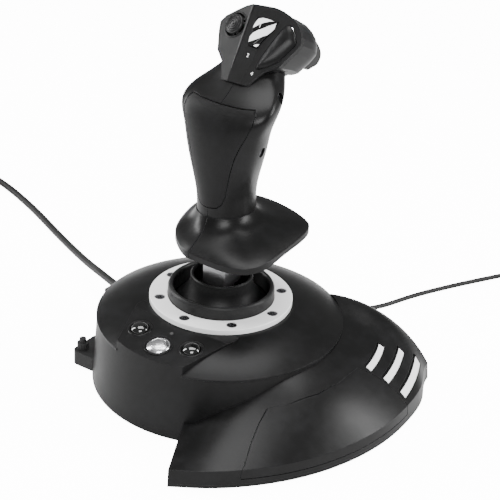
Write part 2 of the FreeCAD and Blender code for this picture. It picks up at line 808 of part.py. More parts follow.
def rearPrism(outline):
    """Level prism over an outline of (x, z) points, reaching in from the rear."""
    return Part.Face(polygonWire([vec(x, -60, z) for x, z in outline])).extrude(vec(0, 66, 0))


def makeGrip():
    outer = gripCore().fuse(flangeSolid())
    shifted = gripCore()
    shifted.translate(vec(0, 1.4, -0.5))
    outline = [(0, 133.2)] + palmPadOutline + [(0, 200.4)] + [(-x, z) for x, z in palmPadOutline[::-1]]
    skin = gripCore().cut(shifted)
    recess, pad = (skin.common(rearPrism(scaledOutline(outline, gap))) for gap in (0.0, sizes["grooveWidth"]))
    pad = max(pad.Solids, key=lambda s: s.Volume)
    hollow = gripCore(sizes["gripWall"]).common(Part.makeBox(80, 90, 96, vec(-40, -30, 117)))
    hollow = hollow.cut(rod(11, 12, vec(0, 0, 110)))
    shell = outer.cut(hollow).cut(recess)
    shell = shell.cut(nodes["stick_shaft"].Shape)
    shell = shell.cut(headCutter())
    screws = []
    for y, z, side in gripScrewPlaces:
        shell = shell.cut(rod(3.3, 20, vec(side - 4, y, z), vec(1, 0, 0)))
        head = rod(3.0, 2.0, vec(side - 4, y, z), vec(1, 0, 0))
        for wide, tall in ((4, 0.9), (0.9, 4)):
            head = head.cut(block(1.4, wide, tall, vec(side - 2, y, z)))
        screws.append(head)
    for side, label in ((1, "grip_right"), (-1, "grip_left")):
        half = shell.common(block(200, 300, 300, vec(side * (100 + sizes["seamWidth"] / 2), 0, 150)))
        feature(label, max(half.Solids, key=lambda s: s.Volume))
    feature("palm_pad", pad)
    feature("grip_screws", Part.makeCompound(screws))


gripScrewPlaces = [
    # y, z and the half width of the grip there
    (0.0, 172.0, 25.8),
    (13.0, 204.5, 28.0),
]


# Head: its own frame lies on the faceted plate. u is to the right, v up the plate, w out of it.
plateFoot = vec(0, 3.0, 210.5)
plateV = vec(0, 0.621, 0.784).normalize()
plateW = vec(0, -0.784, 0.621).normalize()
headPlacement = FreeCAD.Placement(plateFoot, FreeCAD.Rotation(vec(1, 0, 0), plateV, plateW))


def onPlate(u, v, w=0.0):
    return plateFoot + vec(u, 0, 0) + plateV * v + plateW * w


# The plate's outline on each side, from its foot to its top; the thumb side has the fuller shoulder.
plateFlank = [(10.2, 0), (11.3, 2.5), (13.6, 7.0), (16.2, 11.6), (19.5, 14.6), (23.4, 18.0), (28.9, 30.6)]
plateThumbSide = [(30.8, 36.0), (29.4, 40.6), (26.4, 45.2), (22.6, 48.4), (18.2, 50.8), (12.7, 52.1),
                  (5.9, 52.6)]
plateHatSide = [(30.8, 36.7), (27.8, 41.1), (23.2, 44.3), (18.7, 47.2), (14.1, 49.8), (9.4, 51.3), (0, 52.2)]


def plateWire(scale, depth, shift, pinch):
    """The plate's outline, scaled about its middle and set back; pinch draws in its lower half."""
    centre = 27.0
    left = [(-u, v) for u, v in (plateFlank + plateHatSide)[::-1]]
    points = []
    for u, v in plateFlank + plateThumbSide + left:
        reach = (v - centre) * scale * (pinch if v < centre else 1.0)
        points.append(onPlate(u * scale, reach + centre + shift, -depth))
    return polygonWire(points)


headStations = [
    # scale of the plate's outline, depth behind the plate, shift up the plate, share kept of its lower half
    (1.0, 0.0, 0.0, 1.0),
    (0.985, 5.0, 0.0, 0.98),
    (0.985, 14.0, 1.5, 0.88),
    (0.985, 22.0, 3.0, 0.78),
    (0.95, 29.0, 3.8, 0.74),
    (0.85, 34.5, 4.0, 0.74),
    (0.62, 38.0, 3.0, 0.74),
]


def headCore(inset=0.0):
    wires = [plateWire(scale - inset / 28.0, *rest) for scale, *rest in headStations]
    return Part.makeLoft(wires, True, False)


def facetCutter(lift=0.0):
    """Everything in front of the three facets of the plate."""
    tools = []
    middle = Part.makeBox(90, 90, 20, vec(-45, -15, lift))
    tools.append(middle)
    for side in (-1, 1):
        wedge = Part.makeBox(60, 110, 20, vec(0 if side > 0 else -60, -20, 0))
        turn = FreeCAD.Rotation(vec(0, 1, 0), side * facetFold)
        # the fold line leans outward up the plate
        lean = FreeCAD.Rotation(vec(0, 0, 1), -side * facetLean)
        wedge.Placement = FreeCAD.Placement(vec(side * 4.9, 0, lift), lean * turn)
        tools.append(wedge)
    cutter = Part.makeCompound(tools)
    cutter.Placement = headPlacement
    return [s for s in cutter.Solids]


facetFold = 14.0
facetLean = 5.0
facePlate = 3.6


def trimmed(shape, cutters):
    for tool in cutters:
        shape = shape.cut(tool)
    return shape


def headCutter():
    """The space that head and plate take out of the grip's top."""
    return headCore()


def platePrism(outline, low, high):
    face = Part.Face(polygonWire([onPlate(u, v, low) for u, v in outline]))
    return face.extrude(plateW * (high - low))


windowOutline = [(-2.4, 44.4), (12.3, 44.6), (11.4, 40.5), (9.6, 34.0), (7.2, 28.5), (6.2, 24.4), (-1.0, 25.0),
                 (-2.0, 31.5), (-1.9, 36.0), (-2.9, 41.0)]
teardropOutline = [(9.8, 12.9), (10.7, 12.2), (12.5, 12.9), (16.5, 15.8), (21.7, 21.1), (24.9, 28.1),
                   (27.2, 33.1), (27.4, 36.0), (24.8, 40.5), (21.6, 44.0), (19.6, 45.0), (17.8, 44.0),
                   (16.0, 41.0), (14.6, 36.8), (11.9, 27.2), (9.9, 17.9)]
hatPlace = (-16.4, 36.0)
hatRadius = 6.6
hatPivotDepth = 6.0
boardDepth = 15.0


def scaledOutline(outline, shrink):
    cu = sum(u for u, v in outline) / len(outline)
    cv = sum(v for u, v in outline) / len(outline)
    result = []
    for u, v in outline:
        reach = math.hypot(u - cu, v - cv)
        keepShare = (reach - shrink) / reach
        result.append((cu + (u - cu) * keepShare, cv + (v - cv) * keepShare))
    return result


def facetNormal(side):
    """Normal and a surface point maker of the left or right facet."""
    turn = FreeCAD.Rotation(vec(0, 0, 1), -side * facetLean) * FreeCAD.Rotation(vec(0, 1, 0), side * facetFold)
    return headPlacement.Rotation.multVec(turn.multVec(vec(0, 0, 1)))


def onFacet(side, u, v, above=0.0):
    normal = facetNormal(side)
    anchor = onPlate(side * 4.9, 0)
    flat = onPlate(u, v)
    drop = (flat - anchor).dot(normal) / plateW.dot(normal)
    return flat - plateW * drop + normal * above


def plateButton(outline, proud, stemPlace):
    """Cap that follows the facets, on a stem that stops just short of the switch on the board."""
    cap = platePrism(scaledOutline(outline, sizes["buttonGap"]), -18, 4)
    cap = trimmed(cap, facetCutter(proud)).cut(trimmed(platePrism(outline, -19, 4), facetCutter(-6.0)))
    cap = max(cap.Solids, key=lambda s: s.Volume)
    stemFoot = onPlate(*stemPlace, 1.6 - boardDepth)
    stem = rod(2.0, boardDepth - 1.6, stemFoot, plateW)
    return cap.fuse(trimmed(stem, facetCutter(-5.0))).removeSplitter()


def makeHead():
    body = headCore()
    skin = trimmed(body, facetCutter())
    inner = trimmed(body, facetCutter(-facePlate))
    lining = trimmed(body, facetCutter(-facePlate + sizes["seamWidth"]))
    hatNormal = facetNormal(-1)
    hatCentre = onFacet(-1, *hatPlace)
    plate = skin.cut(lining)
    plate = plate.cut(rod(hatRadius + 1.2, 10, hatCentre - hatNormal * 7, hatNormal))
    plate = plate.cut(platePrism(windowOutline, -9, 4))
    plate = plate.cut(platePrism(teardropOutline, -14, 4))
    hollow = trimmed(headCore(2.6), facetCutter(-facePlate - 0.01))
    hollow = hollow.cut(platePrism([(-60, -20), (60, -20), (60, 90), (-60, 90)], -60, -30))
    shell = inner.cut(hollow).cut(triggerRoom())
    for outline in (windowOutline, teardropOutline):
        shell = shell.cut(platePrism(scaledOutline(outline, -0.3), -18, 4))
    shell = shell.cut(rod(9.2, 10, hatCentre - hatNormal * 9.6, hatNormal))
    for side in (-1, 1):
        boss = rod(4, 9, triggerPivot + vec(side * (triggerHalf + 0.8), 0, 0), vec(side, 0, 0))
        shell = shell.fuse(boss.common(headCore(1.0)))
    shell = shell.cut(triggerPinSolid())
    board = platePrism([(-20, 22), (20.5, 22), (20.5, 41), (-20, 41)], -boardDepth - 1.6, -boardDepth)
    shell = shell.cut(platePrism([(-20.5, 21.5), (21, 21.5), (21, 41.5), (-20.5, 41.5)], -17, -14.6))
    feature("head_plate", max(plate.Solids, key=lambda s: s.Volume))
    feature("head_shell", max(shell.Solids, key=lambda s: s.Volume))
    feature("head_board", board)
    feature("centre_button", plateButton(windowOutline, 1.0, (4, 34)))
    feature("side_button", plateButton(teardropOutline, 1.6, (19, 31)))
    makeHat(hatCentre, hatNormal)
    makeTrigger()


def makeHat(centre, normal):
    """Ridged round cap on a stem. It tilts on an axle in the rocker, which tilts in the socket."""
    pivot = centre - normal * hatPivotDepth
    across = plateV.cross(normal).normalize()
    top = rod(hatRadius, 2.2, centre + normal * 0.3, normal)
    for radius in (5.4, 4.0, 2.6):
        groove = rod(radius, 0.5, centre + normal * 2.1, normal)
        top = top.cut(groove.cut(rod(radius - 0.6, 0.5, centre + normal * 2.1, normal)))
    stem = rod(1.9, 7.4, centre - normal * 7.0, normal)
    axle = rod(0.95, 6.4, pivot - plateV * 3.2, plateV)
    feature("hat", top.fuse(stem).fuse(axle).removeSplitter())
    rocker = rod(4.6, 2.4, pivot - normal * 1.2, normal).fuse(rod(0.95, 14.4, pivot - across * 7.2, across))
    rocker = rocker.cut(rod(2.9, 2.6, pivot - normal * 1.3, normal))
    rocker = rocker.cut(rod(1.0, 12, pivot - plateV * 6, plateV))
    feature("hat_rocker", rocker.removeSplitter())
    low = hatPivotDepth + 2.2
    socket = rod(8.9, low - facePlate, centre - normal * low, normal)
    socket = socket.cut(rod(5.6, low, centre - normal * (low + 1), normal))
    socket = socket.cut(rod(1.0, 20, pivot - across * 10, across))
    feature("hat_socket", socket)


triggerPivot = vec(0, 47.0, 226.0)
triggerHalf = 16.5
triggerSpringHalf = 3.8
triggerProfile = [(45.5, 229.5), (53, 231.0), (62, 228.6), (69.5, 223.6), (75.4, 217.0), (77.6, 211.2),
                  (75.4, 207.0), (68, 205.6), (60.5, 206.4), (58.5, 209.5), (58.0, 214.5), (54.0, 219.0),
                  (49.0, 222.0), (45.0, 224.0)]


def triggerRoom():
    """Opening in the head that the trigger's root swings in."""
    room = Part.makeBox(2 * triggerHalf + 1.6, 60, 40, vec(-triggerHalf - 0.8, 38, 200))
    roof = Part.makeBox(60, 80, 40, vec(-30, 20, 233.5))
    return room.cut(roof)


def triggerPinSolid():
    reach = triggerHalf + 4.0
    return rod(1.5, 2 * reach, triggerPivot - vec(reach, 0, 0), vec(1, 0, 0))


def makeTrigger():
    face = Part.Face(smoothWire([vec(-triggerHalf, y, z) for y, z in triggerProfile]))
    trigger = face.extrude(vec(2 * triggerHalf, 0, 0))
    sideways = vec(1, 0, 0)
    trigger = trigger.cut(rod(1.55, 60, triggerPivot - sideways * 30, sideways))
    notch = rod(3.9, 2 * triggerSpringHalf, triggerPivot - sideways * triggerSpringHalf, sideways)
    trigger = trigger.cut(notch)
    trigger = max(trigger.Solids, key=lambda s: s.Volume)
    feature("trigger", trigger)
    feature("trigger_pin", triggerPinSolid())
    spring = coilSpring(2.5, 0.5, 1.6, 5.8, triggerPivot - sideways * 2.9, sideways)
    feature("trigger_spring", spring)


def makeConsole():
    gap = sizes["buttonGap"]
    for side, label in ((-1, "menu_button_left"), (1, "menu_button_right")):
        place = (side * menuPlace[0], menuPlace[1])
        cap = consoleHole(*place, sizes["menuRadius"], 1.4, 4.0)
        stem = consoleHole(*place, 1.8, -3.9, 7.6)
        feature(label, cap.fuse(stem).removeSplitter())
    bezel = consoleHole(*guidePlace, bezelRadius, 0.5, 4.5).cut(
        consoleHole(*guidePlace, sizes["guideRadius"] + gap, 2, 6))
    feature("guide_bezel", bezel)
    cap = consoleHole(*guidePlace, sizes["guideRadius"], 1.3, 4.0)
    stem = consoleHole(*guidePlace, 1.8, -3.9, 7.6)
    feature("guide_button", cap.fuse(stem).removeSplitter())
    feature("status_lens", consoleHole(*lampPlace, 1.2, 0.1, 2.6))
    corners = [(-23, -70), (23, -70), (23, -52), (-23, -52)]
    face = Part.Face(polygonWire([consolePoint(x, y, -10.8) for x, y in corners]))
    feature("console_board", face.extrude(consoleNormal * 1.6))
    board = raised("main_board", rectangle(28, 44, -43, 0), 1.6, dim("footHeight") + dim("plateThick") + 4)
    keep(board, "main_board")


def routeEdges(corners, diameter):
    """Straight runs joined by arcs that touch both of them; prints each radius in diameters."""
    points = [vec(*corner) for corner in corners]
    edges = []
    here = points[0]
    radii = []
    for before, corner, after in zip(points, points[1:], points[2:]):
        inward = (corner - before).normalize()
        outward = (after - corner).normalize()
        turn = inward.getAngle(outward)
        run = min((corner - before).Length, (after - corner).Length)
        reach = 0.45 * run
        radii.append(reach / math.tan(turn / 2) / diameter)
        start, stop = corner - inward * reach, corner + outward * reach
        bulge = (outward - inward).normalize()
        radius = reach / math.tan(turn / 2)
        middle = corner + bulge * (radius / math.cos(turn / 2) - radius)
        edges.append(Part.makeLine(here, start))
        edges.append(Part.Arc(start, middle, stop).toShape())
        here = stop
    edges.append(Part.makeLine(here, points[-1]))
    print("bend radii in diameters:", [round(r, 1) for r in radii])
    return edges


def tube(corners, diameter):
    wire = Part.Wire(routeEdges(corners, diameter))
    start = vec(*corners[0])
    along = (vec(*corners[1]) - start).normalize()
    section = Part.Wire([Part.makeCircle(diameter / 2, start, along)])
    solid = wire.makePipeShell([section], True, True)
    expected = wire.Length * math.pi * diameter ** 2 / 4
    print("lead", round(wire.Length, 1), "mm, volume ratio", round(solid.Volume / expected, 3))
    return solid


def coilSolid(place, inner, outer, height):
    x, y = place
    return rod(outer, height, vec(x, y, 0.1)).cut(rod(inner, height, vec(x, y, 0.1)))


def makeLeads():
    link, usb = sizes["linkDiameter"], sizes["usbDiameter"]
    feature("link_lead", Part.makeCompound([tube(linkRoute, link), tube(linkTail, link)]))
    feature("link_coil", coilSolid(linkCoil, 24.2, 35.2, 10.9))
    feature("usb_lead", Part.makeCompound([tube(usbRoute, usb), tube(usbTail, usb)]))
    feature("usb_coil", coilSolid(usbCoil, 13.0, 27.0, 13.9))
    gland = rod(linkGlandRadius, 14.5, linkExit - linkHeading * 14.5, linkHeading)
    gland = gland.fuse(rod(linkGlandRadius + 1.8, 2, linkExit - linkHeading * 12, linkHeading))
    feature("link_gland", gland.cut(drumCone(5, 45)).fuse(
        rod(linkGlandRadius, 6, linkExit - linkHeading * 18, linkHeading)).removeSplitter())
    gland = rod(usbGlandRadius, 16, usbExit - usbHeading * 16, usbHeading)
    gland = gland.fuse(rod(usbGlandRadius + 1.6, 2, usbExit - usbHeading * 10, usbHeading))
    feature("usb_gland", gland.removeSplitter())
    end, before = vec(*linkTail[-1]), vec(*linkTail[-2])
    feature("link_plug", plugBlock(end, end - before, 12, 9.6, 22))
    end, before = vec(*usbTail[-1]), vec(*usbTail[-2])
    heading = vec(end.x - before.x, end.y - before.y, 0)
    feature("usb_plug", plugBlock(end, heading, 15.4, 8, 24))
    shellStart = end + heading.normalize() * 24
    shell = plugBlock(shellStart, heading, 12, 4.5, 18.5)
    hollow = plugBlock(shellStart + heading * 2, heading, 11.4, 3.9, 18)
    feature("usb_plug_shell", shell.cut(hollow))


def plugBlock(start, heading, width, height, length):
    """Box that leaves start along a level heading."""
    heading = vec(heading.x, heading.y, 0).normalize()
    box = Part.makeBox(length, width, height, vec(0, -width / 2, -height / 2))
    box.Placement = FreeCAD.Placement(start, FreeCAD.Rotation(vec(1, 0, 0), heading))
    return box


makeBaseShell()
makeTopCover()
makeTrimRing()
makeRingScrews()
makeCollar()
makeBell()
makeWing()
makeBottom()
makeDock()
makeGimbal()
makeShaft()
makeGrip()
makeHead()
makeConsole()
makeLeads()
doc.recompute()

for obj in doc.Objects:
    if "Invalid" in obj.State or "Error" in obj.State:
        raise RuntimeError(f"{obj.Name} did not recompute: {obj.State}")
for label, obj in nodes.items():
    shape = obj.Shape
    if shape.isNull() or not shape.isValid() or not shape.Solids:
        raise RuntimeError(f"{label} has no valid solid")
    print(f"{label:18s} {shape.Volume / 1000:8.2f} cm3, solids: {len(shape.Solids)}")
    shape.exportStep(f"parts/{label}.step")
print(len(nodes), "sub-parts")
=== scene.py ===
import math

import bmesh
import bpy
from mathutils import Matrix, Vector


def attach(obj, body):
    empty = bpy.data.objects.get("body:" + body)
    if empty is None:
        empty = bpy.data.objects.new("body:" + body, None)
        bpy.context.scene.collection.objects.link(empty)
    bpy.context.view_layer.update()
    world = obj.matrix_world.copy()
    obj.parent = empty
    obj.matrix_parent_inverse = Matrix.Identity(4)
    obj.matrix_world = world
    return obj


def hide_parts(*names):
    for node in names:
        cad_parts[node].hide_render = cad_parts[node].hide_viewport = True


# Flight joystick with a hand rest. Metres, +Z up, the user sits on the -Y side.
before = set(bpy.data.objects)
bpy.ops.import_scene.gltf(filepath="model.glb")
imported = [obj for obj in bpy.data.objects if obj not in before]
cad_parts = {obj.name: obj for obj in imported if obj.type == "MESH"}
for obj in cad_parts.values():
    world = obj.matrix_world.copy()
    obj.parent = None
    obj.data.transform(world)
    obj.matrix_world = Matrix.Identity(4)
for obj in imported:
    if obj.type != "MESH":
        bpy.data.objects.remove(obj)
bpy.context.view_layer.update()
mm = 0.001
print("frame loaded:", len(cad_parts), "nodes")

# The camera stands in front, to the right and above, at arm's length.
view = {"azimuth": 33.0, "elevation": 27.8, "distance": 1.0, "lens": 111.5, "roll": 3.15,
        "aside": 0.0174, "height": 0.0966}


def setCamera():
    azimuth, elevation = math.radians(view["azimuth"]), math.radians(view["elevation"])
    back = Vector((math.sin(azimuth) * math.cos(elevation), -math.cos(azimuth) * math.cos(elevation),
                   math.sin(elevation)))
    right = Vector((math.cos(azimuth), math.sin(azimuth), 0))
    aim = right * view["aside"] + Vector((0, 0, view["height"]))
    camera = bpy.data.objects.new("camera", bpy.data.cameras.new("camera"))
    bpy.context.collection.objects.link(camera)
    camera.data.sensor_width = 36
    camera.data.lens = view["lens"]
    turn = back.to_track_quat("Z", "Y").to_matrix().to_4x4()
    turn = turn @ Matrix.Rotation(math.radians(view["roll"]), 4, "Z")
    camera.matrix_world = Matrix.Translation(aim + back * view["distance"]) @ turn
    bpy.context.scene.camera = camera


setCamera()


# Shader building

class Wire:
    # wraps one output socket, so that shader maths reads as plain expressions
    def __init__(self, finish, socket):
        self.finish = finish
        self.socket = socket

    def joined(self, operation, other, swapped=False):
        first, second = (other, self) if swapped else (self, other)
        return self.finish.add("Math", {"operation": operation}, {0: first, 1: second})

    def __add__(self, other):
        return self.joined("ADD", other)

    def __radd__(self, other):
        return self.joined("ADD", other, True)

    def __sub__(self, other):
        return self.joined("SUBTRACT", other)

    def __rsub__(self, other):
        return self.joined("SUBTRACT", other, True)

    def __mul__(self, other):
        return self.joined("MULTIPLY", other)

    def __rmul__(self, other):
        return self.joined("MULTIPLY", other, True)


class Finish:
    # one material: its shader's constants are set directly, patterns are wired in
    def __init__(self, name, **constants):
        self.material = bpy.data.materials.new(name)
        self.material.use_nodes = True
        self.tree = self.material.node_tree
        self.shader = self.tree.nodes["Principled BSDF"]
        for socket, value in constants.items():
            self.shader.inputs[socket.replace("_", " ")].default_value = value

    def add(self, kind, settings=None, inputs=None, output=0):
        node = self.tree.nodes.new("ShaderNode" + kind)
        for key, value in (settings or {}).items():
            setattr(node, key, value)
        for key, value in (inputs or {}).items():
            self.feed(node.inputs[key], value)
        return Wire(self, node.outputs[output])

    def feed(self, socket, value):
        if isinstance(value, Wire):
            self.tree.links.new(value.socket, socket)
        else:
            socket.default_value = value

    def drive(self, name, value):
        self.feed(self.shader.inputs[name], value)

    def place(self):
        return self.add("TexCoord", output="Object")

    def noise(self, scale, detail=2.0):
        return self.add("TexNoise", None, {"Vector": self.place(), "Scale": scale, "Detail": detail})

    def stretched(self, scale, stretch, detail=2.0):
        # noise drawn out along one axis, as brushing or extruding leaves it
        place = self.add("Mapping", None, {"Vector": self.place(), "Scale": stretch})
        return self.add("TexNoise", None, {"Vector": place, "Scale": scale, "Detail": detail})

    def clamped(self, value):
        return self.add("Math", {"operation": "ADD", "use_clamp": True}, {0: value, 1: 0.0})

    def mixed(self, factor, first, second):
        return self.add("Mix", {"data_type": "RGBA"}, {0: factor, 6: first, 7: second}, output=2)

    def rounded(self, radius):
        return self.add("Bevel", {"samples": 4}, {"Radius": radius})

    def worn(self, rounded, gain):
        # 0 on open faces, rising to 1 where an edge is rounded over
        flat = self.add("NewGeometry", output="Normal")
        along = self.add("VectorMath", {"operation": "DOT_PRODUCT"}, {0: rounded, 1: flat}, output="Value")
        return self.clamped((1 - along) * gain)

    def bumped(self, height, depth, normal, strength=1.0):
        inputs = {"Height": height, "Distance": depth, "Strength": strength}
        if normal:
            inputs["Normal"] = normal
        self.drive("Normal", self.add("Bump", None, inputs))


def grey(value, blue=0.0):
    return (value, value, value + blue, 1.0)


def plastic(name, shade, worn, rough, grain=0.03, grainScale=1500, edge=0.45, shine=0.14, **constants):
    # moulded plastic: spark-eroded grain, handling smudges, edges polished by use
    finish = Finish(name, Specular_IOR_Level=shine, **constants)
    fine = finish.noise(grainScale, 3.0)
    broad = finish.noise(34, 3.0)
    smudge = finish.noise(160, 4.0)
    rounded = finish.rounded(edge * mm)
    rubbed = finish.worn(rounded, 5.0)
    tint = finish.clamped(rubbed * 0.55 + (broad - 0.42) * 0.5 + (smudge - 0.5) * 0.35)
    finish.drive("Base Color", finish.mixed(tint, grey(shade), grey(worn, 0.002)))
    patchy = (broad - 0.5) * 0.16 + (smudge - 0.5) * 0.10 + (fine - 0.5) * 0.08
    finish.drive("Roughness", patchy - rubbed * 0.06 + rough)
    finish.bumped(fine, grain * mm, rounded)
    return finish


def metal(name, colour, rough, stretch=(1, 1, 1), scale=400, edge=0.3):
    finish = Finish(name, Metallic=1.0)
    lines = finish.stretched(scale, stretch, 3.0)
    stain = finish.noise(60, 3.0)
    rounded = finish.rounded(edge * mm)
    bright = tuple(min(1.0, c * 1.35) for c in colour[:3]) + (1.0,)
    finish.drive("Base Color", finish.mixed(finish.clamped(lines * 0.5 + stain * 0.5), colour, bright))
    finish.drive("Roughness", (lines - 0.5) * 0.18 + (stain - 0.5) * 0.1 + rough)
    finish.bumped(lines, 0.012 * mm, rounded)
    return finish


def rubber(name, shade, rough=0.72, grainScale=900, depth=0.06):
    finish = Finish(name, Specular_IOR_Level=0.2)
    grain = finish.noise(grainScale, 4.0)
    dust = finish.noise(90, 5.0)
    rounded = finish.rounded(0.4 * mm)
    dusty = finish.clamped((dust - 0.4) * 1.4)
    finish.drive("Base Color", finish.mixed(dusty, grey(shade), grey(shade * 2.2)))
    finish.drive("Roughness", (dust - 0.5) * 0.2 + (grain - 0.5) * 0.15 + rough)
    finish.bumped(grain, depth * mm, rounded)
    return finish


def circuitBoard(name):
    finish = Finish(name)
    tracks = finish.add("TexVoronoi", {"feature": "DISTANCE_TO_EDGE", "distance": "MANHATTAN"},
                        {"Vector": finish.place(), "Scale": 320.0})
    line = finish.clamped((0.09 - tracks) * 30)
    finish.drive("Base Color", finish.mixed(line, (0.01, 0.09, 0.035, 1), (0.03, 0.2, 0.08, 1)))
    finish.drive("Roughness", line * 0.12 + 0.32)
    finish.bumped(line, 0.03 * mm, finish.rounded(0.2 * mm))
    return finish


shellFinish = plastic("satinShell", 0.0045, 0.02, 0.36, grain=0.022)
coverFinish = plastic("satinCover", 0.0045, 0.02, 0.34, grain=0.02)
wingFinish = plastic("satinWing", 0.0045, 0.02, 0.34, grain=0.02)
gripFinish = plastic("satinGrip", 0.0045, 0.02, 0.33, grain=0.018)
padFinish = plastic("softTouchPad", 0.0038, 0.014, 0.42, grain=0.03, grainScale=2200)
headFinish = plastic("satinHead", 0.0045, 0.022, 0.35, grain=0.018)
plateFinish = plastic("mattePlate", 0.0035, 0.013, 0.46, grain=0.03, grainScale=2400)
collarFinish = plastic("satinCollar", 0.012, 0.04, 0.4, grain=0.03, edge=0.7)
bellFinish = plastic("mattBell", 0.004, 0.014, 0.45, grain=0.02)
# light grey for the fold crest and the window slant: a painted highlight
paintedHighlightFinish = plastic("paintedHighlightGrey", 0.05, 0.16, 0.28, grain=0.01, edge=0.15)
hatFinish = plastic("ridgedHat", 0.008, 0.06, 0.34, grain=0.012, edge=0.2)
triggerFinish = plastic("satinTrigger", 0.0045, 0.02, 0.34, grain=0.02)
dockFinish = plastic("satinDock", 0.016, 0.05, 0.42, grain=0.03, edge=0.6)
ringFinish = plastic("whiteRing", 0.80, 0.62, 0.33, grain=0.012, edge=0.3)
insertFinish = plastic("whiteInsert", 0.86, 0.74, 0.3, grain=0.012, edge=0.6)
# white of the key numbers, which are print, and of the window's painted reflections
printAndReflectionFinish = plastic("whitePrintAndReflection", 0.86, 0.78, 0.4, grain=0.006, edge=0.05)
glossFinish = plastic("glossCap", 0.004, 0.012, 0.09, grain=0.003, edge=0.3, shine=0.5, Coat_Weight=0.6,
                     Coat_Roughness=0.04)
windowFinish = plastic("glossWindow", 0.0045, 0.016, 0.12, grain=0.003, edge=0.4, Coat_Weight=0.5,
                       Coat_Roughness=0.05)
lensFinish = plastic("smokedLens", 0.05, 0.09, 0.15, grain=0.004, edge=0.1)
guideFinish = metal("satinChrome", (0.52, 0.52, 0.53, 1), 0.24, scale=260)
plateMetal = metal("nickelPlate", (0.62, 0.61, 0.58, 1), 0.22, (1, 6, 1), 300)
screwFinish = metal("blackZinc", (0.16, 0.16, 0.17, 1), 0.3, scale=900)
steelFinish = metal("turnedSteel", (0.42, 0.42, 0.43, 1), 0.34, (1, 1, 9), 250)
castFinish = metal("castZinc", (0.33, 0.34, 0.35, 1), 0.45, scale=700)
springFinish = metal("springWire", (0.35, 0.35, 0.36, 1), 0.28, scale=1200)
footFinish = rubber("footRubber", 0.02)
cableFinish = rubber("cableJacket", 0.009, 0.5, 1600, 0.03)
reliefFinish = rubber("reliefRubber", 0.011, 0.55, 1300, 0.04)
knobFinish = plastic("knurledKnob", 0.02, 0.07, 0.4, grain=0.02, edge=0.2)
# near-black colour of the line above the flange: a painted shadow
paintedShadowFinish = rubber("paintedStepShadow", 0.0025, 0.85)
boardFinish = circuitBoard("circuitBoard")
sensorFinish = plastic("sensorBody", 0.02, 0.05, 0.5)

carried = {
    "base_shell": shellFinish, "top_cover": coverFinish, "trim_ring": ringFinish, "ring_screws": screwFinish,
    "boot_collar": collarFinish, "boot_bell": bellFinish, "bell_carrier": bellFinish, "wing": wingFinish,
    "wing_panel": wingFinish, "wing_bottom": shellFinish, "slot_inserts": insertFinish,
    "base_plate": shellFinish, "base_screws": screwFinish, "base_feet": footFinish, "ballast": castFinish,
    "dock_block": dockFinish, "dock_screw": knobFinish, "gimbal_frame": castFinish,
    "roll_ring": castFinish, "pitch_hub": castFinish, "roll_sensor": sensorFinish,
    "pitch_sensor": sensorFinish, "spring_cup": steelFinish, "centre_spring": springFinish,
    "stick_shaft": steelFinish, "grip_left": gripFinish, "grip_right": gripFinish, "palm_pad": padFinish,
    "grip_screws": screwFinish, "head_plate": plateFinish, "head_shell": headFinish,
    "head_board": boardFinish, "hat_socket": sensorFinish, "hat_rocker": sensorFinish,
    "trigger": triggerFinish, "trigger_pin": steelFinish, "trigger_spring": springFinish,
    "guide_bezel": shellFinish, "status_lens": lensFinish, "console_board": boardFinish,
    "main_board": boardFinish, "usb_plug_shell": plateMetal, "centre_button": windowFinish,
}


def dressCadNodes():
    for node, finish in carried.items():
        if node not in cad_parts:
            continue
        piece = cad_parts[node]
        if not piece.material_slots:
            piece.data.materials.append(finish.material)
        for holder in piece.material_slots:
            holder.material = finish.material


dressCadNodes()
print("finishes made:", len(bpy.data.materials))


# Mesh building

def turnTo(centre, axis, spin=0.0):
    # a frame at centre whose Z points along axis
    turn = Vector(axis).to_track_quat("Z", "Y").to_matrix().to_4x4()
    return Matrix.Translation(Vector(centre)) @ turn @ Matrix.Rotation(spin, 4, "Z")


def spun(work, profile, centre, axis, steps=56):
    # turns an outline of (radius, height) points in millimetres about the axis through centre
    before = set(work.verts)
    points = [work.verts.new((radius * mm, 0, height * mm)) for radius, height in profile]
    edges = [work.edges.new(pair) for pair in zip(points, points[1:])]
    bmesh.ops.spin(work, geom=points + edges, cent=(0, 0, 0), axis=(0, 0, 1), angle=math.tau, steps=steps,
                   use_merge=True)
    made = [vert for vert in work.verts if vert not in before]
    bmesh.ops.remove_doubles(work, verts=made, dist=0.004 * mm)
    kept = [vert for vert in work.verts if vert not in before]
    bmesh.ops.transform(work, matrix=turnTo(centre, axis), verts=kept)


def blockShape(work, size, matrix, radius, segments=3):
    # box of size (x, y, z) in millimetres with rounded edges
    before = set(work.verts)
    made = bmesh.ops.create_cube(work, size=1.0)["verts"]
    bmesh.ops.scale(work, vec=Vector(size) * mm, verts=made)
    edges = list({edge for vert in made for edge in vert.link_edges})
    bmesh.ops.bevel(work, geom=edges, offset=radius * mm, offset_type="OFFSET", segments=segments,
                    profile=0.5, affect="EDGES", material=-1)
    bmesh.ops.transform(work, matrix=matrix, verts=[vert for vert in work.verts if vert not in before])


def rodShape(work, start, stop, wide, narrow, segments=16):
    # rod between two points, with its own radius at each end
    along = Vector(stop) - Vector(start)
    bmesh.ops.create_cone(work, cap_ends=True, segments=segments, radius1=wide * mm, radius2=narrow * mm,
                          depth=along.length, matrix=turnTo((Vector(start) + Vector(stop)) / 2, along))


def finishPiece(name, work, body, finish, sharp=40):
    # closes a bmesh into a piece that rides on a body
    bmesh.ops.recalc_face_normals(work, faces=work.faces)
    for face in work.faces:
        face.smooth = True
    for edge in work.edges:
        edge.smooth = len(edge.link_faces) == 2 and edge.calc_face_angle(0) < math.radians(sharp)
    mesh = bpy.data.meshes.new(name)
    work.to_mesh(mesh)
    work.free()
    mesh.materials.append(finish.material)
    piece = bpy.data.objects.new(name, mesh)
    bpy.context.collection.objects.link(piece)
    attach(piece, body)
    return piece


